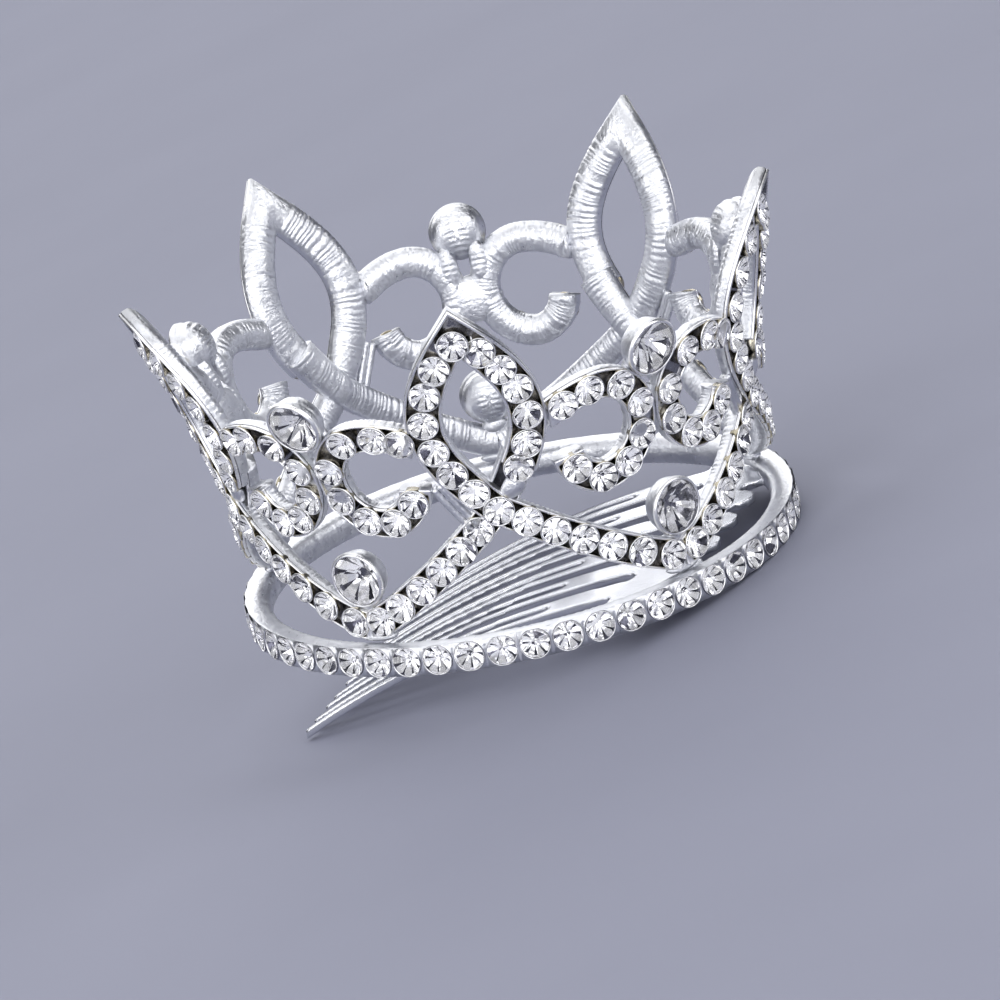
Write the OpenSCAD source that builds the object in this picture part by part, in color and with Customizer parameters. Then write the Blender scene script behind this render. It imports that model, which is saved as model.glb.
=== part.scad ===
// A small five-leaf crown on a hair comb, set all round with clear stones.
// It is drawn upright on its own axis, with height 0 at the middle of the base ring and the comb's
// teeth pointing to +Y, and then laid down as it rests by itself: on the ring's edge and the tips.
// Along the wall, x runs to the right as seen from outside and z runs up.

/* [Base ring] */
// Radius of the ring at its outer face
ring_r = 22.3; // [22.1:0.1:22.5]
// Height of the ring
ring_h = 2.4; // [2.2:0.1:2.4]
// Thickness of the ring from inside to outside
ring_t = 2.1; // [1.9:0.1:2.3]
// Depth of the groove that holds the ring's stones
ring_groove = 0.7; // [0.4:0.1:0.9]

/* [Wall] */
// Radius of the wall's outer face at its foot
foot_r = 21.1; // [21:0.1:21.2]
// How far the wall leans out at the leaf tips
flare = 6; // [5.6:0.1:6.4]
// Height at which that lean is reached
tip_h = 28.8; // [28:0.1:29.6]
// How late the wall leans out: 1 is a straight cone, and higher values bend it near the top
flare_power = 2.4; // [2.2:0.1:2.6]
// Width of the stone-set strips
strip_w = 2.5; // [2.3:0.1:2.5]
// Thickness of the strips
strip_t = 1.6; // [1.4:0.1:1.8]
// Depth of the channel in a strip's face
channel = 0.45; // [0.3:0.05:0.6]

/* [Leaves] */
// How far the first leaf is turned from the comb's middle line
crown_turn = 2; // [0:0.5:6]
// Height at which a leaf's two strips meet at the top
leaf_top_h = 26.4; // [26:0.1:27]
// Height at which the two strips cross
cross_h = 10.9; // [10.6:0.1:11.2]
// Half the width of a leaf between the middles of its strips
leaf_half_w = 3.95; // [3.8:0.05:4.1]
// How many times wider the strips are round a leaf than below its crossing
leaf_widen = 1.16; // [1:0.02:1.2]
// Height of the strips where two leaves meet above the ring
vee_h = 2.58; // [2.56:0.02:2.7]
// How far the lower strip sinks where it passes under the other
under_sink = 0.7; // [0.5:0.1:0.9]

/* [Scrolls] */
// Radius of a scroll, to the middle of its strip
scroll_r = 3.75; // [3.6:0.05:3.8]
// Height of a scroll's middle
scroll_h = 14.85; // [14.7:0.05:15]
// Radius of a scroll at its free end
scroll_end_r = 3; // [2.9:0.1:3.3]
// How far the arm drops from the scroll's top to the leaf
arm_drop = 1; // [0.6:0.1:1.3]

/* [Large stones] */
// Diameter of the ten large stones
stone_d = 4.2; // [4:0.1:4.3]
// Outer diameter of their cups
cup_d = 4.7; // [4.6:0.1:4.8]
// Height of the upper stones
upper_stone_h = 19.95; // [19.8:0.05:20]
// Height of the lower stones
lower_stone_h = 6.5; // [6.5:0.05:6.7]

/* [Comb] */
// Number of pairs of teeth
pairs = 6; // [5:1:6]
// Distance between two pairs
pair_pitch = 4.66; // [4.5:0.02:4.7]
// Width of a tooth
tooth_w = 1.2; // [1.1:0.1:1.3]
// Thickness of the comb
comb_t = 0.9; // [0.8:0.1:1]
// Distance from the crown's axis to the tips of the teeth
tip_reach = 16.3; // [15.5:0.1:17]
// Radius to which the comb is bent along its teeth
comb_bend_r = 83; // [75:1:95]

/* [Hidden] */
leaves = 5;
leaf_turn = 360 / leaves;        // from one leaf to the next
gap_turn = 38;                   // from a leaf's middle to the meeting point on its right
back_turn = leaf_turn - gap_turn; // from a leaf's middle to the meeting point on its left
scroll_turn = 36.5;              // from a leaf's middle to the middle of the scrolls on its right
first = crown_turn - 90;         // the first leaf's direction, over the comb's spine
seam = 0.1;                      // gap left at a soldered seam between two pieces
tail_power = 1.25;               // how hard the strips' tails level out towards the ring
rim = 0.3;                       // width of a strip's edges beside its channel

// Mid-surface of the comb: its highest line and that line's place along the teeth
comb_top_h = 0.75;
comb_top_at = -22.7;
spine_front = -12.5;             // where the long slots end
short_slot_at = -5.8;            // where the short slots end
spine_back = -16.7;              // the spine's notched edge
lobe_out = 1.1;                  // how far the lobes stand out of that edge
long_slot_w = 1.5;
short_slot_w = 0.8;

// The crown leans back until the ring's edge and the tips touch the same level
comb_inner_r = comb_bend_r - comb_t / 2;
tip_low = comb_top_h - comb_bend_r + sqrt(pow(comb_inner_r, 2) - pow(tip_reach - comb_top_at, 2));
rest_tilt = atan2(-ring_h / 2 - tip_low, tip_reach + ring_r);
rest_lift = ring_r * sin(rest_tilt) + ring_h / 2 * cos(rest_tilt);
// Moves the origin to the middle of the resting crown's box, as it comes with the sizes above
footprint = [-0.29, 5.12];

// The flared wall

function wall_r(z) = foot_r + flare * pow(z / tip_h, flare_power);
function wall_slope(z) = flare_power * flare / tip_h * pow(z / tip_h, flare_power - 1);
function wall_angle(x, z) = x / wall_r(z) * 180 / PI;
function unit(v) = v / norm(v);
function wall_out(x, z) = let (t = wall_angle(x, z)) unit([cos(t), sin(t), -wall_slope(z)]);
function wall_up(x, z) = let (t = wall_angle(x, z), s = wall_slope(z)) unit([s * cos(t), s * sin(t), 1]);

// A route point is [x, z, how far it sinks below the wall's face]. Where a fourth value follows,
// the strip's section stands upright there and that value stretches it across
function wall_point(p) =
    let (t = wall_angle(p[0], p[1]), r = wall_r(p[1]))
    [r * cos(t), r * sin(t), p[1]] - p[2] * wall_out(p[0], p[1]);

// Strip section: across, and out from the face. A shallow channel in front, a rounded back
strip_section = [
    [strip_w / 2, 0],
    [strip_w / 2, -0.55 * strip_t],
    [strip_w / 4, -strip_t],
    [-strip_w / 4, -strip_t],
    [-strip_w / 2, -0.55 * strip_t],
    [-strip_w / 2, 0],
    [rim - strip_w / 2, -channel],
    [strip_w / 2 - rim, -channel]
];

// Width of a leaf's strips at a height, as a share of the strips' width elsewhere
function leaf_share(z) = 1 + (leaf_widen - 1) * min(1, max(0, (z - cross_h) / 3));

// Sweeps the strip section along a route on the wall
module strip(route, in_leaf = false) {
    n = len(route);
    m = len(strip_section);
    places = [for (p = route) wall_point(p)];
    rings = [
        for (i = [0:n - 1])
        let (
            along = unit(places[min(i + 1, n - 1)] - places[max(i - 1, 0)]),
            out = wall_out(route[i][0], route[i][1]),
            across = unit(cross(along, out)),
            upright = route[i][3],
            wide = is_undef(upright) ? across : wall_up(route[i][0], route[i][1]) * upright,
            face = is_undef(upright) ? cross(across, along) : out,
            share = in_leaf ? leaf_share(route[i][1]) : 1
        )
        [for (s = strip_section) places[i] + s[0] * share * wide + s[1] * face]
    ];
    points = [for (ring = rings) each ring];
    sides = [
        for (i = [0:n - 2], j = [0:m - 1])
        let (a = i * m + j, b = i * m + (j + 1) % m)
        each [[a, b + m, b], [a, a + m, b + m]]
    ];
    start = [[for (j = [0:m - 1]) j]];
    finish = [[for (j = [0:m - 1]) n * m - 1 - j]];
    polyhedron(points = points, faces = concat(start, sides, finish), convexity = 6);
}

// Routes of a leaf, for its middle at x = 0

loop_steps = 14;
tail_steps = 9;
blunt_end = 0.8;                 // where the right side stops above the crossing
loop_lean = atan2(leaf_half_w * PI, leaf_top_h - cross_h); // of the strips at the leaf's top

// A stretch of one side of the pointed loop: 0 is its top and 1 is the crossing
function loop_side(side, steps, sink = 0) = [
    for (s = steps)
    [side * leaf_half_w * sin(180 * s), leaf_top_h + (cross_h - leaf_top_h) * s, sink]
];

// The tail from the crossing to where it meets the next leaf, turn degrees away
function tail(side, turn, sink = 0) =
    let (length = wall_r(vee_h) * turn * PI / 180 - seam / 2)
    [
        for (i = [1:tail_steps])
        let (
            s = i / tail_steps,
            left = 1 - s,
            place = [side * length * s, vee_h + (cross_h - vee_h) * pow(left, tail_power)]
        )
        concat(place, i == tail_steps ? [0, 1] : [sink * pow(left, 8)])
    ];

function reversed(list) = [for (i = [len(list) - 1:-1:0]) list[i]];

// Up from the meeting point on the right, over the crossing, up to the leaf's tip, where the two
// sides meet in a mitre, and down to a blunt end
over_route = concat(
    reversed(tail(1, gap_turn)),
    reversed(loop_side(-1, [1 / loop_steps:1 / loop_steps:1])),
    [[0, leaf_top_h, 0, -1 / sin(loop_lean)]],
    loop_side(1, [1 / loop_steps:1 / loop_steps:blunt_end])
);

// From under that blunt end, beneath the crossing and down to the meeting point on the left
under_route = concat(
    loop_side(1, [0.74, 0.81, 0.88, 0.94, 1], under_sink),
    tail(-1, back_turn, under_sink)
);

module small_bar() {
    // Ties the free end of the scroll on the leaf's left to the strip just below the crossing
    bar_w = 1.2;
    top = [-4, 13.4, bar_w / 2];
    bottom = [-2.2, 9.9, bar_w / 2];
    low = wall_point(bottom);
    rise = wall_point(top) - low;
    lean = acos(rise[2] / norm(rise));
    turn = atan2(rise[1], rise[0]);
    translate(low)
        rotate([0, lean, turn])
            cylinder(d = bar_w, h = norm(rise), $fn = 24);
}

module leaf(k) {
    color("silver")
        rested()
            rotate([0, 0, first + leaf_turn * (k - 1)]) {
                strip(over_route, true);
                strip(under_route, true);
                small_bar();
            }
}

// Scrolls, two between each pair of leaves, back to back at x = 0

scroll_x = strip_w / 2 + scroll_r + seam / 2;
// Half the leaf's outline at a height, to the outer edge of its strip
function leaf_edge(z) =
    leaf_half_w * sin(180 * (leaf_top_h - z) / (leaf_top_h - cross_h)) +
    leaf_share(z) * strip_w / 2 + 2 * seam;

// side is -1 for the left scroll; turn is the angle from the scrolls' middle to the leaf on that side
function scroll_route(side, turn) =
    let (
        arm_z = scroll_h + scroll_r - arm_drop,
        arm_x = wall_r(arm_z) * turn * PI / 180 - leaf_edge(arm_z),
        run = arm_x - scroll_x
    )
    concat(
        [
            for (i = [0:3])
            let (
                s = 1 - i / 4,
                place = [side * (scroll_x + run * s), scroll_h + scroll_r - arm_drop * s * s, 0]
            )
            i == 0 ? concat(place, side) : place
        ],
        [
            for (t = [90:-22.5:-157.5])
            let (shrink = max(0, -90 - t) / 67.5, r = scroll_r + (scroll_end_r - scroll_r) * shrink)
            [side * (scroll_x - r * cos(t)), scroll_h + r * sin(t), 0]
        ]
    );

// A round cup with a domed back, its rim proud of the wall's face
cup_proud = 0.5;
cup_back = 2.3;
stone_gap = 0.05;
stone_r = stone_d / 2;
girdle_h = 0.25;                 // height of a stone's widest line above the wall's face
pavilion_d = 1.7;                // from that line down to the stone's point
crown_d = 0.65;                  // from that line up to the stone's flat top
table_r = 1.25;

module cup() {
    rotate_extrude($fn = 48)
        polygon([
            [0, -cup_back],
            [0.55 * cup_d / 2, -0.9 * cup_back],
            [0.9 * cup_d / 2, -0.55 * cup_back],
            [cup_d / 2, -0.2 * cup_back],
            [cup_d / 2, cup_proud],
            [stone_r + stone_gap, cup_proud],
            [stone_r + stone_gap, girdle_h - stone_gap],
            [0, girdle_h - pavilion_d - 2 * stone_gap]
        ]);
}

module stone() {
    color("aliceblue")
        rotate_extrude($fn = 48)
            polygon([
                [0, girdle_h - pavilion_d],
                [stone_r, girdle_h],
                [stone_r, girdle_h + 0.1],
                [table_r, girdle_h + crown_d],
                [0, girdle_h + crown_d]
            ]);
}

// Puts a cup or stone on the wall, turn degrees to the right of a leaf and facing straight out
module on_wall(k, turn, z) {
    rested()
        rotate([0, 0, first + leaf_turn * (k - 1) + turn])
            translate([wall_r(z), 0, z])
                rotate([0, 90 + atan(wall_slope(z)), 0])
                    children();
}

module web() {
    // Joins the backs of the two scrolls
    translate([wall_r(scroll_h) - 1.5, 0, scroll_h - 0.2])
        rotate([0, 90, 0])
            cylinder(d = 3, h = 1.1, $fn = 32);
}

module scroll_pair(k) {
    color("silver") {
        rested()
            rotate([0, 0, first + leaf_turn * (k - 1) + scroll_turn]) {
                strip(scroll_route(-1, scroll_turn));
                strip(scroll_route(1, leaf_turn - scroll_turn));
                web();
            }
        on_wall(k, scroll_turn, upper_stone_h)
            cup();
    }
}

module lower_cup(k) {
    color("gainsboro")
        on_wall(k, gap_turn, lower_stone_h)
            cup();
}

module upper_stone(k) {
    on_wall(k, scroll_turn, upper_stone_h)
        stone();
}

module lower_stone(k) {
    on_wall(k, gap_turn, lower_stone_h)
        stone();
}

module base_ring() {
    inner = ring_r - ring_t;
    half = ring_h / 2;
    lip = 0.15;
    edge = 0.5;                  // the inner side is rounded off by this much
    color("silver")
        rested()
            rotate_extrude($fn = 180)
                polygon([
                    [inner, -half + edge],
                    [inner + edge, -half],
                    [ring_r, -half],
                    [ring_r, -half + lip],
                    [ring_r - ring_groove, -half + lip],
                    [ring_r - ring_groove, half - lip],
                    [ring_r, half - lip],
                    [ring_r, half],
                    [inner + edge, half],
                    [inner, half - edge]
                ]);
}

// The comb's outline lies flat with the teeth along +X, and is then cut out of a bent sheet

module slot(from, y, w) {
    translate([from + w / 2, y])
        circle(d = w, $fn = 24);
    translate([from + w / 2, y - w / 2])
        square([tip_reach + 5, w]);
}

module teeth_outline() {
    pair_w = pair_pitch - long_slot_w;
    for (i = [0:pairs - 1]) {
        y = (i - (pairs - 1) / 2) * pair_pitch;
        translate([spine_front - 1, y - pair_w / 2])
            square([tip_reach - tooth_w / 2 - spine_front + 1, pair_w]);
        for (side = [-1, 1])
            translate([tip_reach - tooth_w / 2, y + side * (pair_w - tooth_w) / 2])
                circle(d = tooth_w, $fn = 24);
    }
}

module spine_outline() {
    intersection() {
        circle(r = ring_r - ring_t - seam, $fn = 180);
        union() {
            translate([spine_back, -20])
                square([spine_front + 0.75 - spine_back, 40]);
            for (i = [-2:2])
                translate([spine_back, i * pair_pitch])
                    circle(r = lobe_out * 1.6, $fn = 32);
        }
    }
}

module comb_outline() {
    difference() {
        union() {
            teeth_outline();
            spine_outline();
        }
        for (i = [1:pairs - 1])
            slot(spine_front, (i - pairs / 2) * pair_pitch, long_slot_w);
        for (i = [0:pairs - 1])
            slot(short_slot_at, (i - (pairs - 1) / 2) * pair_pitch, short_slot_w);
    }
}

module comb() {
    color("lightsteelblue")
        rested()
            rotate([0, 0, 90])
                intersection() {
                    translate([0, 0, -15])
                        linear_extrude(height = 20)
                            comb_outline();
                    translate([comb_top_at, 30, comb_top_h - comb_bend_r])
                        rotate([90, 0, 0])
                            difference() {
                                cylinder(r = comb_bend_r + comb_t / 2, h = 60, $fn = 360);
                                translate([0, 0, -1])
                                    cylinder(r = comb_bend_r - comb_t / 2, h = 62, $fn = 360);
                            }
                }
}

// Tips the upright crown over until it rests on the floor
module rested() {
    translate([footprint[0], footprint[1], rest_lift])
        rotate([rest_tilt, 0, 0])
            children();
}

base_ring();
comb();
for (k = [1:leaves]) {
    leaf(k);
    scroll_pair(k);
    lower_cup(k);
    upper_stone(k);
    lower_stone(k);
}
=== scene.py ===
import math

import bmesh
import bpy
import numpy as np
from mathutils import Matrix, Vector


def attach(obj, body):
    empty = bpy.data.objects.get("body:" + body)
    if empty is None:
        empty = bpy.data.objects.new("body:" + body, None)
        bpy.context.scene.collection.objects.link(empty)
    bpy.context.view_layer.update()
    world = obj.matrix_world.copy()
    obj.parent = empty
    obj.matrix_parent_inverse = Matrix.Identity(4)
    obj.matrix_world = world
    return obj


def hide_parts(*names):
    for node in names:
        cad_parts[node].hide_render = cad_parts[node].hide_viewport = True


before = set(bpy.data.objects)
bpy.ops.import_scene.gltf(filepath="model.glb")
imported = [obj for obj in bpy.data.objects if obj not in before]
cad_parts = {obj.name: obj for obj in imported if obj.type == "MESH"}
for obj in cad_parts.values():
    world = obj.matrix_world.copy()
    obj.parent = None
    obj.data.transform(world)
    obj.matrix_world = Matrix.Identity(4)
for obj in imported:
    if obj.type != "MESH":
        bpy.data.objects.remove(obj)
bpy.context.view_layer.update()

# Sizes in millimetres and angles in degrees, with the CAD source's values. The crown is drawn
# upright, with height 0 at the middle of the ring, and then laid down as it rests

# Base ring: radius of its outer face, height
RING_R, RING_H = 22.3, 2.4
# Wall: radius at its foot, how far and how late it leans out, height where that lean is reached
FOOT_R, FLARE, FLARE_POWER, TIP_H = 21.1, 6.0, 2.4, 28.8
# Strips: width, thickness, depth of the channel, times wider round a leaf
STRIP_W, STRIP_T, CHANNEL, LEAF_WIDEN = 2.5, 1.6, 0.45, 1.16
# Leaves: heights of the top, the crossing and the foot, half the width between the strips
LEAF_TOP, CROSS, VEE, HALF_W = 26.4, 10.9, 2.58, 3.95
# How far the under strip sinks, the share of the loop after which the right side stops,
# how hard the tails level out, the gap at a soldered seam
SINK, BLUNT, TAIL_POWER, SEAM = 0.7, 0.8, 1.25, 0.1
# Scrolls: radius, height of the middle, radius at the free end, drop of the arm
SCROLL_R, SCROLL_H, SCROLL_END, ARM_DROP = 3.75, 14.85, 3.0, 1.0
# Large stones: diameter, diameter of the cups, heights of the upper and the lower ones
STONE_D, CUP_D, UPPER_H, LOWER_H = 4.2, 4.7, 19.95, 6.5
# Comb: radius of its bend, height and place of its highest line, thickness, reach of the tips
COMB_BEND, COMB_TOP, COMB_AT, COMB_T, TIP_REACH = 83.0, 0.75, -22.7, 0.9, 16.3
# Number of leaves, direction of the first one, and the turns from a leaf's middle to the meeting
# point and to the middle of the scrolls on its right
LEAVES, FIRST, GAP, SCROLLS = 5, -88.0, 38.0, 36.5
LEAF_TURN = 360 / LEAVES  # from leaf to leaf
BACK = LEAF_TURN - GAP  # from a leaf's middle to the meeting point on its left
# Half the angle of a leaf's top
LEAN = math.atan2(HALF_W * math.pi, LEAF_TOP - CROSS)

# The crown leans back until the ring's edge and the comb's tips touch the same level. Then it
# moves until the origin is the middle of its footprint
FOOTPRINT = (-0.29, 5.12)
comb_inner = COMB_BEND - COMB_T / 2
tip_low = COMB_TOP - COMB_BEND + math.sqrt(comb_inner**2 - (TIP_REACH - COMB_AT) ** 2)
TILT = math.atan2(-RING_H / 2 - tip_low, TIP_REACH + RING_R)
LIFT = RING_R * math.sin(TILT) + RING_H / 2 * math.cos(TILT)
REST = np.array([
    [1, 0, 0],
    [0, math.cos(TILT), -math.sin(TILT)],
    [0, math.sin(TILT), math.cos(TILT)],
])
MM = 0.001
MERGE = 1e-7  # points closer than this many metres become one
UP = np.array([0, 0, 1.0])

# Materials of the metal pieces and of the stones, by their places in METALS and STONES
# The second metal is silver painted dark, as painted shade and dark reflection in recesses and
# gaps; the third is silver painted darker than the rims, as painted shade
RIM, SHADED_RECESS, BODY, CUP = range(4)
GLASS, FOIL, SHADE = range(3)


def spin(degrees):
    """Turns points about the crown's axis."""
    c, s = math.cos(math.radians(degrees)), math.sin(math.radians(degrees))
    return np.array([[c, -s, 0], [s, c, 0], [0, 0, 1]])


def unit(v):
    return v / np.linalg.norm(v, axis=-1, keepdims=True)


class Shape:
    """Collects faces in crown millimetres, then becomes one object."""

    def __init__(self):
        self.points, self.faces, self.mats, self.smooth = [], [], [], []
        self.count = 0

    def add(self, points, faces, mats, smooth=True):
        """mats is one material for all the faces, or a list with each face's own."""
        points = np.asarray(points, float).reshape(-1, 3)
        self.points.append(points)
        for i, face in enumerate(faces):
            self.faces.append([j + self.count for j in face])
            self.mats.append(mats if isinstance(mats, int) else mats[i])
            self.smooth.append(smooth)
        self.count += len(points)

    def build(self, name, materials, turn=0.0):
        v = np.vstack(self.points) @ spin(turn).T @ REST.T
        v = (v + [FOOTPRINT[0], FOOTPRINT[1], LIFT]) * MM
        mesh = bpy.data.meshes.new(name)
        mesh.from_pydata(v.tolist(), [], self.faces)
        for m in materials:
            mesh.materials.append(m)
        mesh.polygons.foreach_set("material_index", self.mats)
        mesh.polygons.foreach_set("use_smooth", self.smooth)
        work = bmesh.new()
        work.from_mesh(mesh)
        bmesh.ops.remove_doubles(work, verts=work.verts, dist=MERGE)
        bmesh.ops.recalc_face_normals(work, faces=work.faces)
        work.to_mesh(mesh)
        work.free()
        obj = bpy.data.objects.new(name, mesh)
        bpy.context.scene.collection.objects.link(obj)
        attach(obj, "root")
        return obj


# The flared wall: x runs along it to the right as seen from outside, z up


def wall_r(z):
    return FOOT_R + FLARE * (z / TIP_H) ** FLARE_POWER


def wall_slope(z):
    return FLARE_POWER * FLARE / TIP_H * (z / TIP_H) ** (FLARE_POWER - 1)


def wall(x, z, sink=0.0):
    """Points at a depth below the wall's face, and its outward directions there."""
    x, z = np.broadcast_arrays(np.asarray(x, float), np.asarray(z, float))
    t = x / wall_r(z)
    out = unit(np.stack([np.cos(t), np.sin(t), -wall_slope(z)], -1))
    p = np.stack([wall_r(z) * np.cos(t), wall_r(z) * np.sin(t), z], -1)
    return p - np.asarray(sink)[..., None] * out, out


def wall_up(x, z):
    """The direction straight up the wall."""
    t = x / wall_r(z)
    s = wall_slope(z)
    return unit(np.array([s * math.cos(t), s * math.sin(t), 1]))


def wall_basis(x, z):
    """Columns: along the wall, up it, out of it."""
    _, out = wall(x, z)
    up = wall_up(x, z)
    return np.stack([np.cross(up, out), up, out], -1)


def axes(out, side):
    """Columns: sideways, upwards, outwards."""
    x = unit(side - out * np.dot(side, out))
    return np.stack([x, np.cross(out, x), out], -1)


def run_length(p):
    """Distance of each point from the first one, along the row."""
    return np.concatenate([[0], np.cumsum(np.linalg.norm(np.diff(p, axis=0), axis=1))])


# The stone-set strips

BACK_STEPS = 12


def strip_section():
    """Points round a strip: across it, out from its face, material, share of the file marks."""
    half = STRIP_W / 2
    # In from the side, over the rim with its engraved line, and down to the channel's floor
    # The engraved line, the channel's walls and its floor get the darkened silver, as painted
    # shade
    edge = [
        (0.0, -0.38, BODY), (0.01, -0.3, BODY), (0.06, -0.24, SHADED_RECESS), (0.02, -0.18, RIM),
        (0.03, -0.06, RIM), (0.08, 0.0, RIM), (0.17, -0.01, RIM), (0.22, -0.08, RIM),
        (0.25, -0.36, SHADED_RECESS), (0.34, -CHANNEL, SHADED_RECESS),
    ]
    right = [(half - inward, out, kind, 0) for inward, out, kind in edge]
    right += [(across, -CHANNEL, SHADED_RECESS, 0) for across in (0.45, 0.27, 0.12)]
    left = [(-across, out, kind, 0) for across, out, kind, _ in right[::-1]]
    # The round back has a low ridge along its middle
    back = []
    for i in range(BACK_STEPS + 1):
        turn = math.radians(180 * i / BACK_STEPS)
        ridge = 0.07 * max(0, 1 - abs(i - BACK_STEPS / 2) / 1.5)
        depth = 0.55 + (STRIP_T - 0.62) * abs(math.sin(turn)) ** 0.75 + ridge
        back.append((-half * math.cos(turn), -depth, BODY, 0.5 + 0.5 * math.sin(turn)))
    return right + [(0, -CHANNEL, SHADED_RECESS, 0)] + left + back


SECTION = strip_section()
ACROSS, OUTWARD, _, MARKED = np.array(SECTION).T
KINDS = [kind for _, _, kind, _ in SECTION]
IN_CHANNEL = (np.abs(ACROSS) < STRIP_W / 2 - 0.2) & (OUTWARD > -0.5)
ON_FLOOR = np.isclose(OUTWARD, -CHANNEL)

# File marks: height, distance from one to the next, distance over which they change
MARK_HEIGHT, MARK_PITCH, MARK_DRIFT = 0.17, 0.46, 0.7
# A channel's closed end: its length in fades, and the length of its fade
END_LONG, END_FADE = 4.5, 0.1


def file_marks(s, across, seed):
    """Height of the file marks on a back, in two rows beside its ridge."""
    rng = np.random.default_rng(seed)
    knots = np.arange(0, s.max() + 2 * MARK_DRIFT, MARK_DRIFT)
    shift = np.interp(s, knots, rng.normal(0, 0.3, len(knots)))
    strength = np.interp(s, knots, rng.uniform(0.15, 1.0, len(knots)))
    row = np.where(across > 0, rng.uniform(), rng.uniform())
    wave = np.abs(np.sin(math.pi * ((s + shift + 0.12 * across) / MARK_PITCH + row))) ** 0.7
    return (wave - 0.6) * strength


def leaf_share(z):
    """Width of a leaf's strips at a height, as a share of the strips' width elsewhere."""
    return 1 + (LEAF_WIDEN - 1) * np.clip((z - CROSS) / 3, 0, 1)


def sweep(shape, route, stones, upright, fill, seed, mark_share=None, leaf=False):
    """A stone-set strip along a route.

    upright names the steps whose section stands upright, with their stretch, as in the CAD
    source. fill says how far the channel is closed at the route's start and end.
    """
    x, z, sink = route.T
    p, out = wall(x, z, sink)
    along = unit(np.gradient(p, axis=0))
    across = unit(np.cross(along, out))
    face = np.cross(across, along)
    for i, stretch in upright.items():
        across[i] = wall_up(x[i], z[i]) * stretch
        face[i] = out[i]

    s = run_length(p)
    marks = file_marks(s[:, None], ACROSS[None, :], seed) * MARKED[None, :] * MARK_HEIGHT
    if mark_share:
        marks = marks * mark_share(s, z)[:, None]
    radial = unit(np.stack([ACROSS, OUTWARD + 0.5], -1))
    widen = leaf_share(z) if leaf else np.ones(len(z))
    closed = np.maximum(np.clip(END_LONG - s / END_FADE, 0, 1) * fill[0],
                        np.clip(END_LONG - (s[-1] - s) / END_FADE, 0, 1) * fill[1])
    a = ACROSS[None, :] * widen[:, None] + marks * radial[None, :, 0]
    b = OUTWARD[None, :] + marks * radial[None, :, 1]
    b = np.where(IN_CHANNEL[None, :], b - OUTWARD[None, :] * closed[:, None], b)
    pts = p[:, None] + a[..., None] * across[:, None] + b[..., None] * face[:, None]

    # The channel's floor dips under each stone, and the stone in the mitre has a wider dip
    for centre, _, _ in stones:
        near, steepness = (2.4, 0.4) if centre[2] > MITRE_AT else (0.8, 0.85)
        reach = np.linalg.norm(p - centre, axis=1)
        for i in np.flatnonzero(reach < near):
            d = np.linalg.norm(pts[i] + CHANNEL * face[i] - centre, axis=-1)
            dip = np.where(ON_FLOOR, np.clip(0.6 - steepness * d, 0, None), 0)
            pts[i] -= dip[:, None] * face[i]

    n, m = len(p), len(SECTION)
    faces, mats = [], []
    for i in range(n - 1):
        for j in range(m):
            k = (j + 1) % m
            faces.append((i * m + j, i * m + k, (i + 1) * m + k, (i + 1) * m + j))
            mats.append(RIM if closed[i] > 0.5 and IN_CHANNEL[j] else KINDS[j])
    faces += [tuple(range(m - 1, -1, -1)), tuple((n - 1) * m + j for j in range(m))]
    mats += [BODY, BODY]
    shape.add(pts, faces, mats)


# Routes of (x, z, depth) along the wall, as in the CAD source but finer

STEP = 0.095
TIP_CLEAR = 1.66 * LEAF_WIDEN  # no section but the mitre's own stands this near a leaf's top
UNDER_FROM = 0.74  # share of the loop after which the under strip starts
# Angles round a scroll, from the side next to the other scroll: its top, where it starts to
# tighten, its free end
CURL_TOP, CURL_TIGHTENS, CURL_ENDS = 90, -90, -157.5


def resample(route):
    """The same route in even steps, measured along the wall."""
    s = run_length(wall(route[:, 0], route[:, 1], route[:, 2])[0])
    even = np.linspace(0, s[-1], max(2, int(round(s[-1] / STEP)) + 1))
    return np.stack([np.interp(even, s, route[:, i]) for i in range(3)], -1)


def loop_side(side, s, sink=0.0):
    """One side of a leaf's loop, from its top (0) to the crossing (1)."""
    x = side * HALF_W * np.sin(math.pi * s)
    return np.stack([x, LEAF_TOP + (CROSS - LEAF_TOP) * s, 0 * s + sink], -1)


def tail(side, turn, sink=0.0):
    """A tail from the crossing down to the meeting point at that turn."""
    s = np.linspace(0, 1, 60)
    length = wall_r(VEE) * math.radians(turn) - SEAM / 2
    rest = 1 - s  # the strip comes up to the wall's face soon after the crossing
    z = VEE + (CROSS - VEE) * rest**TAIL_POWER
    return np.stack([side * length * s, z, sink * rest**8], -1)


def over_route():
    """The leaf's over strip, and the number of the step at its top."""
    up = resample(np.vstack([tail(1, GAP)[::-1], loop_side(-1, np.linspace(0.98, 0, 60))]))
    down = resample(loop_side(1, np.linspace(0, BLUNT, 60)))
    keep_up = np.hypot(up[:, 0], up[:, 1] - LEAF_TOP) > TIP_CLEAR
    keep_down = np.hypot(down[:, 0], down[:, 1] - LEAF_TOP) > TIP_CLEAR
    up, down = up[keep_up], down[keep_down]
    return np.vstack([up, [[0, LEAF_TOP, 0]], down]), len(up)


def under_route():
    start = loop_side(1, np.linspace(UNDER_FROM, 1, 16), SINK)
    return resample(np.vstack([start[:-1], tail(-1, BACK, SINK)]))


def leaf_edge(z):
    """Distance from a leaf's middle to its outer edge."""
    side = HALF_W * math.sin(math.pi * (LEAF_TOP - z) / (LEAF_TOP - CROSS))
    return side + leaf_share(z) * STRIP_W / 2 + 2 * SEAM


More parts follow.
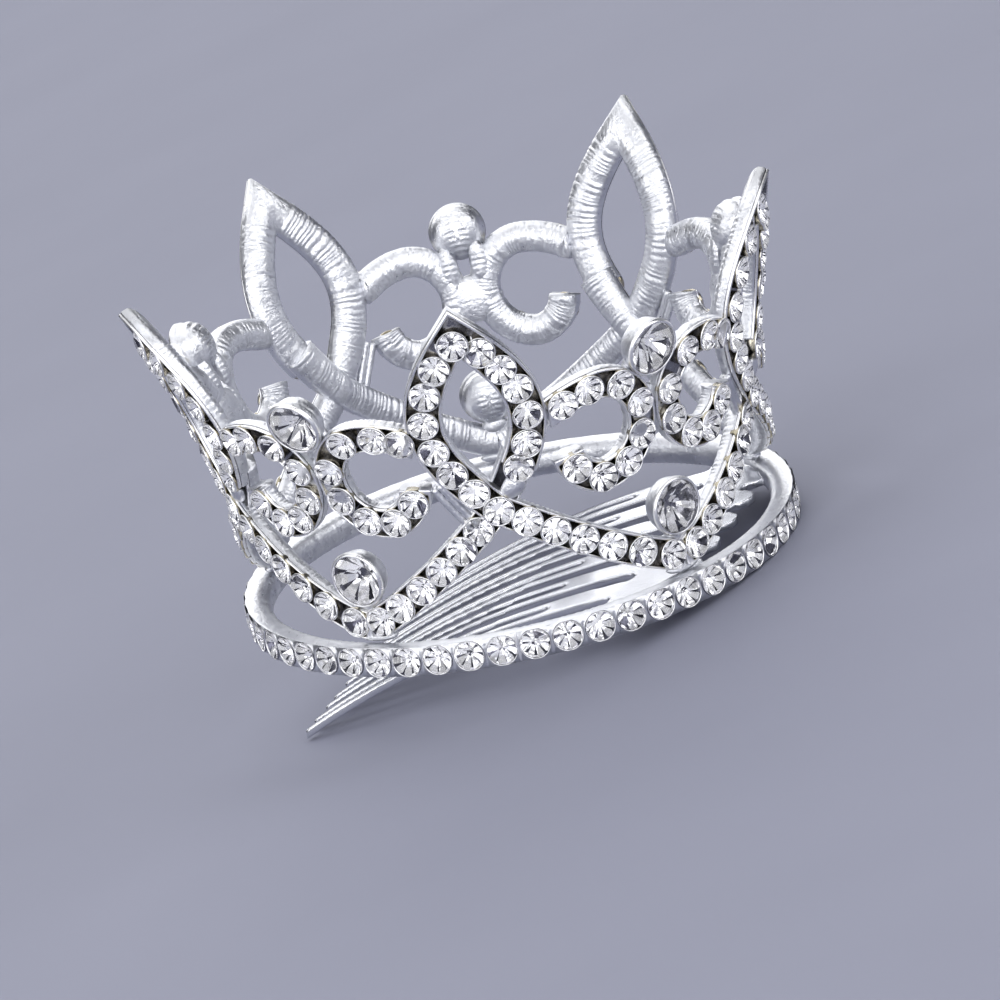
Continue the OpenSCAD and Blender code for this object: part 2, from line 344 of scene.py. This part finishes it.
def scroll_route(side, turn):
    """From the leaf along the arm and round the scroll to its free end."""
    arm_z = SCROLL_H + SCROLL_R - ARM_DROP
    centre = STRIP_W / 2 + SCROLL_R + SEAM / 2
    run = wall_r(arm_z) * math.radians(turn) - leaf_edge(arm_z) - centre
    s = np.linspace(1, 0, 30)
    top = SCROLL_H + SCROLL_R - ARM_DROP * s**2
    arm = np.stack([side * (centre + run * s), top, 0 * s], -1)
    t = np.linspace(CURL_TOP, CURL_ENDS, 90)
    tightened = np.maximum(0, CURL_TIGHTENS - t) / (CURL_TIGHTENS - CURL_ENDS)
    r = SCROLL_R + (SCROLL_END - SCROLL_R) * tightened
    t = np.radians(t)
    curl = np.stack([side * (centre - r * np.cos(t)), SCROLL_H + r * np.sin(t), 0 * t], -1)
    return resample(np.vstack([arm[:-1], curl]))


# Small stones: angle from the leaf's or the gap's middle in degrees, and height

OVER_STONES = [
    (-0.6, 25.5), (-4.7, 23.7), (-7.9, 21.6), (-9.7, 19.2), (-9.5, 16.7), (-8.0, 14.4),
    (-5.0, 12.3), (0.2, 10.8), (5.3, 9.5), (10.4, 8.0), (15.6, 6.7), (21.0, 5.2), (27.3, 3.9),
    (34.5, 2.7),
]
RIGHT_SIDE_STONES = [
    (4.4, 24.7), (7.8, 22.9), (9.7, 20.7), (10.3, 18.2), (9.3, 15.7), (6.0, 13.4),
]
UNDER_STONES = [(-3.8, 9.1), (-8.1, 7.6), (-13.4, 6.2), (-18.8, 4.9), (-24.5, 3.6), (-30.2, 2.6)]
LEFT_STONES = [
    (-20.0, 18.1), (-14.4, 18.6), (-8.0, 17.9), (-3.4, 16.0), (-3.8, 13.4), (-8.1, 11.6),
    (-14.2, 11.15), (-18.6, 12.7),
]
RIGHT_STONES = [
    (20.4, 18.1), (15.5, 18.6), (9.2, 17.9), (3.9, 16.0), (3.6, 13.3), (8.8, 11.7),
    (14.7, 11.0), (18.6, 12.75),
]
SMALL_R = 1.13
MITRE_AT = 25.2  # a stone above this height sits in the mitre, off the strip's middle line
STONE_RNG = np.random.default_rng(11)


def seats(table, route):
    """Centre, outward direction and the strip's direction for each stone.

    A stone is moved onto the strip's middle line. Those near a leaf's top look up a little.
    """
    p, out = wall(route[:, 0], route[:, 1], route[:, 2])
    along = unit(np.gradient(p, axis=0))
    made = []
    for degrees, z in table:
        q, facing = wall(wall_r(z) * math.radians(degrees), z)
        i = int(np.argmin(np.linalg.norm(p - q, axis=1)))
        centre, outward = (q, facing) if z > MITRE_AT else (p[i], out[i])
        look_up = math.tan(math.radians(np.interp(z, [18, 25.5], [0, 17])))
        made.append((centre, unit(outward + look_up * UP), along[i]))
    return made


def lathe(shape, profile, place, basis, segments, mats, press=None):
    """Turns a closed profile of (radius, height) about the basis's third axis.

    mats is one material, or one for each step of the profile. press may move the points.
    """
    profile = np.asarray(profile, float)
    n = len(profile)
    t = np.arange(segments) * 2 * math.pi / segments
    ring = np.stack([
        np.outer(np.cos(t), profile[:, 0]),
        np.outer(np.sin(t), profile[:, 0]),
        np.tile(profile[:, 1], (segments, 1)),
    ], -1).reshape(-1, 3)
    if press:
        ring = press(ring)
    on_axis = profile[:, 0] < 1e-6
    faces, kinds = [], []
    for i in range(segments):
        k = (i + 1) % segments
        for j in range(n):
            m = (j + 1) % n
            if on_axis[j] and on_axis[m]:
                continue
            quad = [i * n + j, k * n + j, k * n + m, i * n + m]
            if on_axis[j]:
                quad = [j, k * n + m, i * n + m]
            elif on_axis[m]:
                quad = [i * n + j, k * n + j, m]
            faces.append(quad)
            kinds.append(mats if isinstance(mats, int) else mats[j])
    shape.add(ring @ basis.T + place, faces, kinds)


def brilliant(shape, place, basis, r, crown, pavilion, lift, rng, table=0.62, wedge=(4, 7.5)):
    """A cut stone: clear facets in front; behind, bright petals with a painted glow, parted by
    dark wedges of painted shade.

    crown and pavilion are its heights before and behind the girdle, table is a share of r,
    and wedge is the range of half the wedges' widths in degrees.
    """
    turn = rng.uniform(0, 360)
    lean = rng.normal(0, 0.035, 2)

    def circle(angles, radius, height, play=0.006):
        a = np.radians(turn + np.asarray(angles, float))
        ring = np.stack([radius * np.cos(a), radius * np.sin(a), height + 0 * a], -1)
        return ring + rng.normal(0, play * r, ring.shape)

    def foil_or_shade(dark_share):
        return SHADE if rng.uniform() < dark_share else FOIL

    eighths, sixteenths = np.arange(8) * 45.0, np.arange(16) * 22.5
    middles = eighths + 11.25
    half = rng.uniform(*wedge, 8)
    sides = np.stack([middles - half, middles + half], -1).reshape(-1)
    pts = np.vstack([
        circle(eighths, table * r, crown),  # edge of the table
        circle(eighths + 22.5, 0.79 * r, crown * 0.56),  # lower ends of the star facets
        circle(sixteenths, r, 0.05 * r, 0),  # girdle, upper edge
        circle(sixteenths, r, -0.03 * r, 0),  # girdle, lower edge
        circle(sides, 0.86 * r, -0.2 * pavilion, 0.02),  # wide ends of the dark wedges
        circle(middles, 0.26 * r, -0.76 * pavilion, 0.03),  # points of the wedges
        circle([0], 0.0, -pavilion, 0.03),  # point of the stone
    ])
    # Where each circle after the first one starts in that list
    star_at, upper_at, lower_at, end_at, tip_at, culet = 8, 16, 32, 48, 64, 72
    pts[:, 2] += pts[:, 0] * lean[0] + pts[:, 1] * lean[1] + lift
    faces, kinds = [tuple(range(8))], [GLASS]
    for i in range(8):
        j = (i + 1) % 8
        star, last = star_at + i, star_at + (i - 1) % 8
        g, g1, g2 = (upper_at + (2 * i + step) % 16 for step in range(3))
        front = [(i, star, j), (i, g, star), (i, last, g), (star, g, g1), (star, g1, g2)]
        faces += front
        kinds += [GLASS] * len(front)
        left, right, after = (end_at + (2 * i + step) % 16 for step in range(3))
        h, h1, h2 = (lower_at + (2 * i + step) % 16 for step in range(3))
        tip, next_tip = tip_at + i, tip_at + j
        behind = [
            (tip, left, right), (left, h, h1, right), (right, h1, h2, after),
            (tip, right, after, next_tip), (tip, next_tip, culet),
        ]
        faces += [face[::-1] for face in behind]
        kinds += [SHADE, foil_or_shade(0.4), FOIL, foil_or_shade(0.06), foil_or_shade(0.2)]
    for i in range(16):
        j = (i + 1) % 16
        faces.append((upper_at + i, lower_at + i, lower_at + j, upper_at + j))
        kinds.append(GLASS)
    shape.add(pts @ basis.T + place, faces, kinds, smooth=False)


def cup_edge(shape, place, basis, inner):
    """The thin round wall that holds a small stone."""
    outer, low, high = inner + 0.085, -0.5, 0.22
    mid = (inner + outer) / 2
    profile = [
        (inner, low), (outer + 0.01, low), (outer, high - 0.09), (mid + 0.03, high),
        (mid - 0.02, high - 0.005), (inner, high - 0.07),
    ]
    lathe(shape, profile, place, basis, 26, [CUP, CUP, RIM, RIM, RIM, CUP])


def set_stones(metal_shape, stones, places):
    for p, out, along in places:
        basis = axes(unit(out + STONE_RNG.normal(0, 0.012, 3)), along)
        r = SMALL_R * (1 + STONE_RNG.normal(0, 0.008))
        cup_edge(metal_shape, p, basis, r + 0.015)
        brilliant(stones, p, basis, r, 0.24, 1.14, 0.2, STONE_RNG)


def blob(shape, place, basis, radii, seed, mat=BODY, rough=0.1, n=22, ridges=0.0):
    """A lump of solder.

    rough is how uneven it is, n the number of its segments, ridges the depth of its file marks.
    """
    rng = np.random.default_rng(seed)
    waves = rng.normal(0, 1, (6, 3)) * 2.2
    shift = rng.uniform(0, 6, 6)
    lat = np.linspace(-math.pi / 2, math.pi / 2, n // 2 + 1)[1:-1]
    lon = np.arange(n) * 2 * math.pi / n
    d = [[0, 0, -1]]
    d += [[math.cos(u) * math.cos(v), math.cos(u) * math.sin(v), math.sin(u)]
          for u in lat for v in lon]
    d += [[0, 0, 1]]
    d = np.array(d)
    bump = sum(np.sin(d @ w + q) for w, q in zip(waves, shift)) / 6
    pts = d * (1 + rough * bump)[:, None] * np.asarray(radii)
    line = pts[:, 1] + 0.15 * pts[:, 0] ** 2
    wave = np.abs(np.sin(math.pi * line / MARK_PITCH)) ** 0.6
    pts[:, [0, 2]] *= (1 + ridges * (wave - 0.6))[:, None]
    faces = [(0, 1 + (j + 1) % n, 1 + j) for j in range(n)]
    rows = len(lat)
    for i in range(rows - 1):
        low, high = 1 + i * n, 1 + (i + 1) * n
        for j in range(n):
            k = (j + 1) % n
            faces.append((low + j, low + k, high + k, high + j))
    top, base = len(d) - 1, 1 + (rows - 1) * n
    faces += [(base + j, base + (j + 1) % n, top) for j in range(n)]
    shape.add(pts @ basis.T + place, faces, mat)


# Materials


def new_material(name, metallic, roughness):
    m = bpy.data.materials.new(name)
    m.use_nodes = True
    shader = m.node_tree.nodes["Principled BSDF"]
    shader.inputs["Metallic"].default_value = metallic
    shader.inputs["Roughness"].default_value = roughness
    return m, m.node_tree.nodes, m.node_tree.links, shader


def noise_chain(nodes, links, scale, detail, stretch=(1, 1, 1)):
    coords = nodes.new("ShaderNodeTexCoord")
    mapping = nodes.new("ShaderNodeMapping")
    mapping.inputs["Scale"].default_value = stretch
    noise = nodes.new("ShaderNodeTexNoise")
    noise.inputs["Scale"].default_value = scale
    noise.inputs["Detail"].default_value = detail
    links.new(coords.outputs["Object"], mapping.inputs["Vector"])
    links.new(mapping.outputs["Vector"], noise.inputs["Vector"])
    return noise.outputs["Fac"]


def tint(nodes, links, shader, source, dark, light):
    """Base colour from dark to light over the middle of a noise's range."""
    ramp = nodes.new("ShaderNodeValToRGB")
    for element, at, colour in zip(ramp.color_ramp.elements, (0.3, 0.7), (dark, light)):
        element.position = at
        element.color = (*colour, 1)
    links.new(source, ramp.inputs["Fac"])
    links.new(ramp.outputs["Color"], shader.inputs["Base Color"])


def haze(nodes, links, shader, source, low, high):
    """Roughness from low to high over the middle of a noise's range."""
    spread = nodes.new("ShaderNodeMapRange")
    spread.inputs["From Min"].default_value, spread.inputs["From Max"].default_value = 0.3, 0.7
    spread.inputs["To Min"].default_value, spread.inputs["To Max"].default_value = low, high
    links.new(source, spread.inputs["Value"])
    links.new(spread.outputs["Result"], shader.inputs["Roughness"])


def metal(name, dark, light, rough, grain, bump, depth, stretch=(1, 1, 1)):
    m, nodes, links, shader = new_material(name, 1.0, rough[0])
    broad = noise_chain(nodes, links, grain * 0.25, 3)
    fine = noise_chain(nodes, links, grain, 6, stretch)
    tint(nodes, links, shader, broad, dark, light)
    haze(nodes, links, shader, fine, *rough)
    b = nodes.new("ShaderNodeBump")
    b.inputs["Strength"].default_value = bump
    b.inputs["Distance"].default_value = depth
    links.new(fine, b.inputs["Height"])
    links.new(b.outputs["Normal"], shader.inputs["Normal"])
    return m


def glass(name, dark, light):
    m, nodes, links, shader = new_material(name, 0.0, 0.0)
    shader.inputs["IOR"].default_value = 1.4
    shader.inputs["Transmission Weight"].default_value = 1.0
    tint(nodes, links, shader, noise_chain(nodes, links, 700, 2), dark, light)
    haze(nodes, links, shader, noise_chain(nodes, links, 1500, 2), 0.0, 0.02)
    return m


def foil(name, dark, light, rough, metallic=1.0, glow=0.0):
    m, nodes, links, shader = new_material(name, metallic, rough)
    shader.inputs["Emission Color"].default_value = (1.0, 1.0, 1.0, 1.0)
    shader.inputs["Emission Strength"].default_value = glow
    tint(nodes, links, shader, noise_chain(nodes, links, 900, 2), dark, light)
    haze(nodes, links, shader, noise_chain(nodes, links, 1800, 2), rough * 0.7, rough * 1.3)
    return m


METALS = [
    metal("silver_rim", (0.93, 0.93, 0.95), (1.0, 1.0, 1.0),
          rough=(0.24, 0.38), grain=2500, bump=0.3, depth=0.00005),
    # Silver painted dark: painted shade and dark reflection in channels, holes, gaps round stones
    # and cup floors
    metal("silver_channel_painted_shade", (0.16, 0.16, 0.18), (0.34, 0.34, 0.37),
          rough=(0.14, 0.34), grain=2200, bump=0.35, depth=0.00006),
    # The silver of the backs and bodies is painted darker than the rims', a painted shade that
    # keeps it from blowing out in the key light
    metal("silver_back_painted_darker", (0.67, 0.68, 0.72), (0.83, 0.84, 0.87),
          rough=(0.26, 0.44), grain=3200, bump=0.6, depth=0.00012),
    metal("cup_metal", (0.24, 0.21, 0.14), (0.62, 0.58, 0.48),
          rough=(0.12, 0.25), grain=1800, bump=0.15, depth=0.00003),
]
comb_steel = metal("comb_steel", (0.66, 0.67, 0.71), (0.82, 0.83, 0.86),
                   rough=(0.16, 0.26), grain=900, bump=0.12, depth=0.00004, stretch=(5, 0.4, 1))
STONES = [
    glass("stone_glass", (0.96, 0.96, 1.0), (1.0, 1.0, 1.0)),
    # White foil with a painted glow: its emission brightens the petals beyond the light they catch
    foil("stone_foil_painted_glow", (0.97, 0.97, 0.99), (1.0, 1.0, 1.0), rough=0.1, metallic=0.75, glow=0.16),
    # Dark foil for the wedges: painted shade in place of the stone's dark reflections
    foil("stone_shade", (0.05, 0.05, 0.07), (0.16, 0.16, 0.2), rough=0.12),
]

# Leaves. Every strip, large stone and lump of solder has a seed of its own

over, tip_step = over_route()
under = under_route()

# A turned collar round the first stone rounds the inner corner at a leaf's top
COLLAR_AT = (-0.15, 25.5)
COLLAR = [
    (0.95, -0.95), (1.1, -1.15), (1.35, -1.0), (1.45, -0.5), (1.45, -0.18), (1.41, -0.07),
    (1.33, -0.06), (1.27, -0.14), (1.25, -0.4), (0.95, -0.46),
]
# Its two innermost faces, sunk into the channel, get the darkened silver as painted shade
COLLAR_KINDS = [BODY] * 4 + [RIM] * 4 + [SHADED_RECESS] * 2
# Tie bar: its ends as (x, z, depth), its middle as (x, z)
TIE_TOP, TIE_FOOT, TIE_MIDDLE = (-4.3, 13.5, 0.55), (-2.1, 9.7, 0.55), (-3, 11)
# Its wires: radius, how far each lies from the middle line, steps along them
WIRE_R, WIRE_SHIFT, WIRE_STEPS = 0.33, 0.3, 14
BLUNT_TURN = math.degrees(0.62)  # how far the blunt end's lump is turned


def half_sunk(p):
    """Lets a turned shape's upper half down into the channel's floor."""
    p = p.copy()
    sunk = p[:, 2] - 0.5 * np.clip(p[:, 1] / 0.5 + 0.6, 0, 1)
    p[:, 2] = np.maximum(sunk, np.minimum(p[:, 2], -1.0))
    return p


def quiet_tip(_, z):
    """The file marks fade towards a leaf's top."""
    return np.interp(z, [24.5, 26.2], [1, 0.1])


def tie_bar(shape):
    """Two thin wires side by side."""
    start, end = wall(*TIE_TOP)[0], wall(*TIE_FOOT)[0]
    length = np.linalg.norm(end - start)
    direction, facing = (end - start) / length, wall(*TIE_MIDDLE)[1]
    profile = [(0, 0), (WIRE_R, 0.02)]
    profile += [(WIRE_R - 0.03 * (i % 2), length * i / WIRE_STEPS) for i in range(1, WIRE_STEPS)]
    profile += [(WIRE_R, length), (0, length)]
    for shift in (-WIRE_SHIFT, WIRE_SHIFT):
        place = start + np.cross(direction, facing) * shift
        lathe(shape, profile, place, axes(direction, facing), 14, BODY)


def make_leaf(k):
    turn = FIRST + LEAF_TURN * (k - 1)
    metal_shape, stones = Shape(), Shape()
    over_seats = seats(OVER_STONES, over[: tip_step + 1])
    over_seats += seats(RIGHT_SIDE_STONES, over[tip_step:])
    under_seats = seats(UNDER_STONES, under)
    upright = {0: 1, tip_step: -1 / math.sin(LEAN)}
    sweep(metal_shape, over, over_seats, upright, (1, 0.6), k, quiet_tip, leaf=True)
    sweep(metal_shape, under, under_seats, {len(under) - 1: 1}, (0, 1), 10 + k, leaf=True)
    set_stones(metal_shape, stones, over_seats + under_seats)
    lathe(metal_shape, COLLAR, wall(*COLLAR_AT)[0], wall_basis(*COLLAR_AT), 40, COLLAR_KINDS,
          press=half_sunk)
    # Blunt end of the right side, over the crossing
    blob(metal_shape, wall(1.55, 12.35, 0.35)[0], wall_basis(1.5, 12.3) @ spin(BLUNT_TURN),
         (1.15, 0.85, 0.5), 20 + k, rough=0.16)
    tie_bar(metal_shape)
    obj = metal_shape.build(f"leaf_{k}_metal", METALS, turn)
    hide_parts(f"leaf_{k}")
    gems = stones.build(f"leaf_{k}_stones", STONES, turn)


# Scroll pairs, large stones and their cups

DOME_STEPS = 18


def cup_profile():
    """Points round a big cup's section: radius, height above the wall's face, material."""
    r, inner = CUP_D / 2, STONE_D / 2 - 0.02
    # The foot of the inner wall and the floor under the stone get the darkened silver, as painted
    # shade
    rows = [
        (inner, -0.2, SHADED_RECESS), (inner, 0.18, RIM), (inner + 0.03, 0.24, RIM),
        (inner + 0.12, 0.23, RIM), (r - 0.08, 0.12, RIM),
    ]
    # The wall has fine turned lines, and the back is a dome in steps
    for i in range(3):
        h = -0.02 - 0.16 * i
        rows += [(r - 0.03 * i, h, BODY), (r - 0.05 - 0.03 * i, h - 0.08, BODY)]
    for i in range(DOME_STEPS):
        f = math.radians(90 * i / DOME_STEPS)
        rows.append(((r - 0.2) * math.cos(f) ** 0.85, -0.5 - 1.74 * math.sin(f), BODY))
    return rows + [(0, -2.24, BODY), (0, -1.98, SHADED_RECESS)]


CUP_ROWS = cup_profile()


def marked_dome(p):
    """Crosswise ridges up the middle of a cup's back, where it was filed."""
    band = np.clip(1.4 - np.abs(p[:, 0]) / 0.8, 0, 1) * np.clip((-0.55 - p[:, 2]) / 0.3, 0, 1)
    wave = np.abs(np.sin(math.pi * (p[:, 1] + 0.13 * p[:, 0] ** 2) / 0.44)) ** 0.6
    return p * (1 + 0.1 * band * (wave - 0.75))[:, None]


def big_cup(shape, z):
    lathe(shape, [(r, h) for r, h, _ in CUP_ROWS], wall(0.0, z)[0], wall_basis(0.0, z), 72,
          [kind for _, _, kind in CUP_ROWS], press=marked_dome)


def big_stone(name, z, k, turn, seed):
    shape = Shape()
    brilliant(shape, wall(0.0, z)[0], wall_basis(0.0, z), STONE_D / 2 - 0.06, 0.5, 1.85, -0.02,
              np.random.default_rng(seed), table=0.56, wedge=(5, 9))
    obj = shape.build(f"{name}_{k}_cut", STONES, turn)
    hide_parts(f"{name}_{k}")


def deep_end(s, _):
    """A scroll's file marks are deeper near its free end."""
    return 1 + 0.9 * np.clip((s - s[-1] + 2.8) / 0.5, 0, 1)


def make_gap(k):
    turn = FIRST + LEAF_TURN * (k - 1) + SCROLLS
    low_turn = FIRST + LEAF_TURN * (k - 1) + GAP
    metal_shape, stones = Shape(), Shape()
    sides = ((-1, SCROLLS, LEFT_STONES), (1, LEAF_TURN - SCROLLS, RIGHT_STONES))
    for side, degrees, table in sides:
        route = scroll_route(side, degrees)
        places = seats(table, route)
        sweep(metal_shape, route, places, {0: side}, (1, 1), 30 + 2 * k + side, deep_end)
        set_stones(metal_shape, stones, places)
        # Solder where the arm meets the leaf, and between the cup and the scroll
        x, z, _ = route[0]
        blob(metal_shape, wall(x + side * 0.1, z, 0.95)[0], wall_basis(x, z), (0.42, 1.1, 0.6),
             50 + 2 * k + side)
        x, z = side * 1.3, 17.5
        blob(metal_shape, wall(x, z, 1.2)[0], wall_basis(x, z), (0.78, 1.75, 0.62),
             70 + 2 * k + side, rough=0.2, n=60, ridges=0.16)
    big_cup(metal_shape, UPPER_H)
    # A web of solder between the two scrolls
    blob(metal_shape, wall(0.0, SCROLL_H - 0.4, 1.02)[0], wall_basis(0.0, SCROLL_H),
         (2.55, 2.15, 0.66), 90 + k, rough=0.3, n=60, ridges=0.06)
    obj = metal_shape.build(f"scroll_pair_{k}_metal", METALS, turn)
    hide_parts(f"scroll_pair_{k}")
    gems = stones.build(f"scroll_pair_{k}_stones", STONES, turn)
    big_stone("upper_stone", UPPER_H, k, turn, 110 + k)
    big_stone("lower_stone", LOWER_H, k, low_turn, 120 + k)
    lower = Shape()
    big_cup(lower, LOWER_H)
    # Solder in the crook of the two tails, and down to the ring
    blob(lower, wall(0.0, 4.1, 0.75)[0], wall_basis(0.0, 4.1), (1.1, 0.7, 0.6), 130 + k,
         rough=0.14)
    blob(lower, wall(0.1, 1.55, 0.75)[0], wall_basis(0.0, 1.5), (1.7, 0.5, 0.75), 140 + k,
         rough=0.2)
    obj = lower.build(f"lower_cup_{k}_metal", METALS, low_turn)
    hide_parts(f"lower_cup_{k}")


# Base ring: a band of cells, each pierced for its stone, closed behind by a turned band

# Number of stones, turn of the first one as a share of their pitch, radius of a stone
RING_STONES, RING_PHASE, RING_STONE_R = 54, 0.17, 1.14
RING_FACE = RING_R - 0.04  # the stones' rims stand a little out of the band's face
# Half a cell's width and height, and the radius of its hole
CELL_U, CELL_V, HOLE = math.pi * RING_R / RING_STONES, 1.19, 1.165
# Out of a hole: radius, height above the band's face, material from there to the next row
# The hole's wall and the dip just outside the stone's rim get the darkened silver, as painted
# shade
HOLE_ROWS = [
    (HOLE - 0.06, -1.2, SHADED_RECESS), (HOLE - 0.005, -0.03, RIM), (HOLE + 0.012, 0.05, RIM),
    (HOLE + 0.045, 0.05, SHADED_RECESS), (HOLE + 0.075, -0.12, BODY),
]
# Upper half of the band's section behind the cells: depth from the ring's face, height
BAND_HALF = [(0.2, 1.195), (0.45, 1.2), (1.0, 1.2), (1.45, 1.14), (1.8, 0.92), (2.03, 0.55)]
BAND = BAND_HALF + [(2.1, 0.0)] + [(inward, -z) for inward, z in BAND_HALF[::-1]]
RING_SEAM = 197.8  # direction of the ring's own soldered seam


def cell_turn(i):
    return math.radians((i + RING_PHASE) * 360 / RING_STONES)


def edge_drop(distance):
    """How far the band falls away from its face at a distance from a hole's middle."""
    return 0.04 + 0.1 * max(0, (distance - CELL_V) / 0.6)


def cell_outline():
    """Directions round a hole, with the distance to the cell's edge in each."""
    corner = math.degrees(math.atan2(CELL_V, CELL_U))
    quarter = [0, corner / 3, corner * 2 / 3, corner, 52, 65, 77]
    mirrored = [0] + [90 - a for a in quarter[:0:-1]]
    angles = [math.radians(a + 90 * q) for q in range(4) for a in (mirrored if q % 2 else quarter)]
    tiny = 1e-9
    return [(a, min(CELL_U / max(abs(math.cos(a)), tiny), CELL_V / max(abs(math.sin(a)), tiny)))
            for a in angles]


def cell(outline):
    """Points (along the ring, up, above its face), faces and materials of one cell."""
    n = len(outline)
    pts = [(0.0, 0.0, HOLE_ROWS[0][1])]
    for radius, high, _ in HOLE_ROWS:
        # The hole's rim reaches the cell's upper and lower edges, and is cut off just inside them
        for a, edge in outline:
            r = min(radius, edge * (0.99 if high > 0 else 0.985))
            pts.append((r * math.cos(a), r * math.sin(a), high))
    pts += [(edge * math.cos(a), edge * math.sin(a), -edge_drop(edge)) for a, edge in outline]
    faces = [(0, 1 + j, 1 + (j + 1) % n) for j in range(n)]
    # The bottom of the hole gets the darkened silver, as painted shade
    kinds = [SHADED_RECESS] * n
    for i, (_, _, kind) in enumerate(HOLE_ROWS):
        inner, outer = 1 + i * n, 1 + (i + 1) * n
        for j in range(n):
            k = (j + 1) % n
            faces.append((inner + j, outer + j, outer + k, inner + k))
            kinds.append(kind)
    return np.array(pts), faces, kinds


def ring_back(outline):
    """The rest of the band, in the same steps as the cells' upper and lower edges."""
    on_edge = {round(edge * math.cos(a), 6) for a, edge in outline
               if abs(abs(edge * math.sin(a)) - CELL_V) < 1e-6}
    across_cell = sorted(on_edge)[:-1]  # the next cell starts with the last one
    steps = [(cell_turn(i) + u / RING_R, u) for i in range(RING_STONES) for u in across_cell]
    wobble = np.random.default_rng(5).normal(0, 1, len(steps))
    pts = []
    for i, (t, u) in enumerate(steps):
        mark = (0.045 if i % 2 else -0.02) + 0.018 * wobble[i]
        edge_r = RING_FACE - edge_drop(math.hypot(u, CELL_V))
        rows = [(edge_r, CELL_V)]
        for inward, z in BAND:
            share = min(1, max(0, (inward - 0.3) / 1.1))
            push = math.copysign(mark * 0.6 * share, z) * (abs(z) > 0.6)
            rows.append((RING_R - inward + mark * share, z - push))
        rows.append((edge_r, -CELL_V))
        pts += [(r * math.cos(t), r * math.sin(t), z) for r, z in rows]
    m = len(BAND) + 2
    faces = []
    for i in range(len(steps)):
        k = (i + 1) % len(steps)
        for j in range(m - 1):
            faces.append((i * m + j, k * m + j, k * m + j + 1, i * m + j + 1))
    return pts, faces, BODY


def make_ring():
    metal_shape, stones = Shape(), Shape()
    outline = cell_outline()
    pts, faces, kinds = cell(outline)
    for i in range(RING_STONES):
        t = cell_turn(i) + pts[:, 0] / RING_R
        r = RING_FACE + pts[:, 2]
        metal_shape.add(np.stack([r * np.cos(t), r * np.sin(t), pts[:, 1]], -1), faces, kinds)
        out = np.array([math.cos(cell_turn(i)), math.sin(cell_turn(i)), 0.0])
        basis = axes(unit(out + STONE_RNG.normal(0, 0.02, 3)), UP)
        brilliant(stones, out * RING_FACE, basis, RING_STONE_R, 0.2, 1.14, -0.1, STONE_RNG)
    metal_shape.add(*ring_back(outline))
    seam = math.radians(RING_SEAM)
    place = np.array([math.cos(seam), math.sin(seam), 0]) * RING_FACE
    blob(metal_shape, place, axes(unit(place), UP), (1.15, 0.16, 0.14), 3, RIM, 0.2)
    obj = metal_shape.build("base_ring_band", METALS)
    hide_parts("base_ring")
    gems = stones.build("base_ring_stones", STONES)


for k in range(1, LEAVES + 1):
    make_leaf(k)
    make_gap(k)
make_ring()

# The comb keeps its CAD solid, rounded all over: its teeth are nearly round wires.
# Sizes are in metres
COMB_VOXEL, COMB_WEAR, COMB_ROUNDS = 0.00016, 0.00013, 14

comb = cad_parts["comb"]
comb.data.materials.clear()
comb.data.materials.append(comb_steel)
even = comb.modifiers.new("even_mesh", "REMESH")
even.mode = "VOXEL"
even.voxel_size = COMB_VOXEL
even.use_smooth_shade = True
worn = comb.modifiers.new("worn_thin", "DISPLACE")
worn.mid_level = 0
worn.strength = -COMB_WEAR
tumbled = comb.modifiers.new("tumbled", "SMOOTH")
tumbled.factor = 0.5
tumbled.iterations = COMB_ROUNDS

# Floor, camera and lights, in metres

FLOOR_SIZE = 6
floor_material, nodes, links, shader = new_material("floor_paper", 0.0, 0.75)
shade = noise_chain(nodes, links, 30, 3)
tint(nodes, links, shader, shade, (0.232, 0.24, 0.31), (0.242, 0.25, 0.322))
bpy.ops.mesh.primitive_plane_add(size=FLOOR_SIZE, location=(0, 0, 0))
floor = bpy.context.object
floor.name = "floor"
floor.data.materials.append(floor_material)

# The camera comes from a fit to points measured in the photo
CAMERA_AT, CAMERA_TURN, LENS = (-0.455636, -0.216761, 0.13006), (75.388, 24.1886, -70.1332), 237.41
camera_data = bpy.data.cameras.new("photo_camera")
camera_data.lens = LENS
camera_data.sensor_width = 36
camera_data.clip_start, camera_data.clip_end = 0.01, 20
camera = bpy.data.objects.new("photo_camera", camera_data)
camera.rotation_euler = [math.radians(a) for a in CAMERA_TURN]
camera.location = CAMERA_AT
bpy.context.scene.collection.objects.link(camera)
bpy.context.scene.camera = camera

AIM = Vector((0, 0, 0.02))
LIGHT_DISTANCE = 1.0


def area(name, azimuth, height, size, power):
    """A soft box aimed at the crown. Azimuth and height in degrees, seen from the crown."""
    a, h = math.radians(azimuth), math.radians(height)
    direction = Vector((math.cos(a) * math.cos(h), math.sin(a) * math.cos(h), math.sin(h)))
    data = bpy.data.lights.new(name, "AREA")
    data.shape = "RECTANGLE"
    data.size, data.size_y = size
    data.energy = power
    light = bpy.data.objects.new(name, data)
    light.location = LIGHT_DISTANCE * direction
    light.rotation_euler = (AIM - light.location).to_track_quat("-Z", "Y").to_euler()
    bpy.context.scene.collection.objects.link(light)


area("key", 205, 26, (1.3, 0.9), 8.8)
area("left", 134, 28, (0.6, 0.8), 3.2)
area("right", 274, 28, (0.6, 0.8), 3.2)
area("top", 30, 80, (1.2, 1.2), 6.6)
area("back", 30, 28, (1.1, 0.6), 4.0)

world = bpy.data.worlds.new("studio")
world.use_nodes = True
background = world.node_tree.nodes["Background"]
background.inputs["Color"].default_value = (0.5, 0.52, 0.64, 1)
background.inputs["Strength"].default_value = 0.18
bpy.context.scene.world = world
bpy.context.scene.view_settings.view_transform = "Standard"
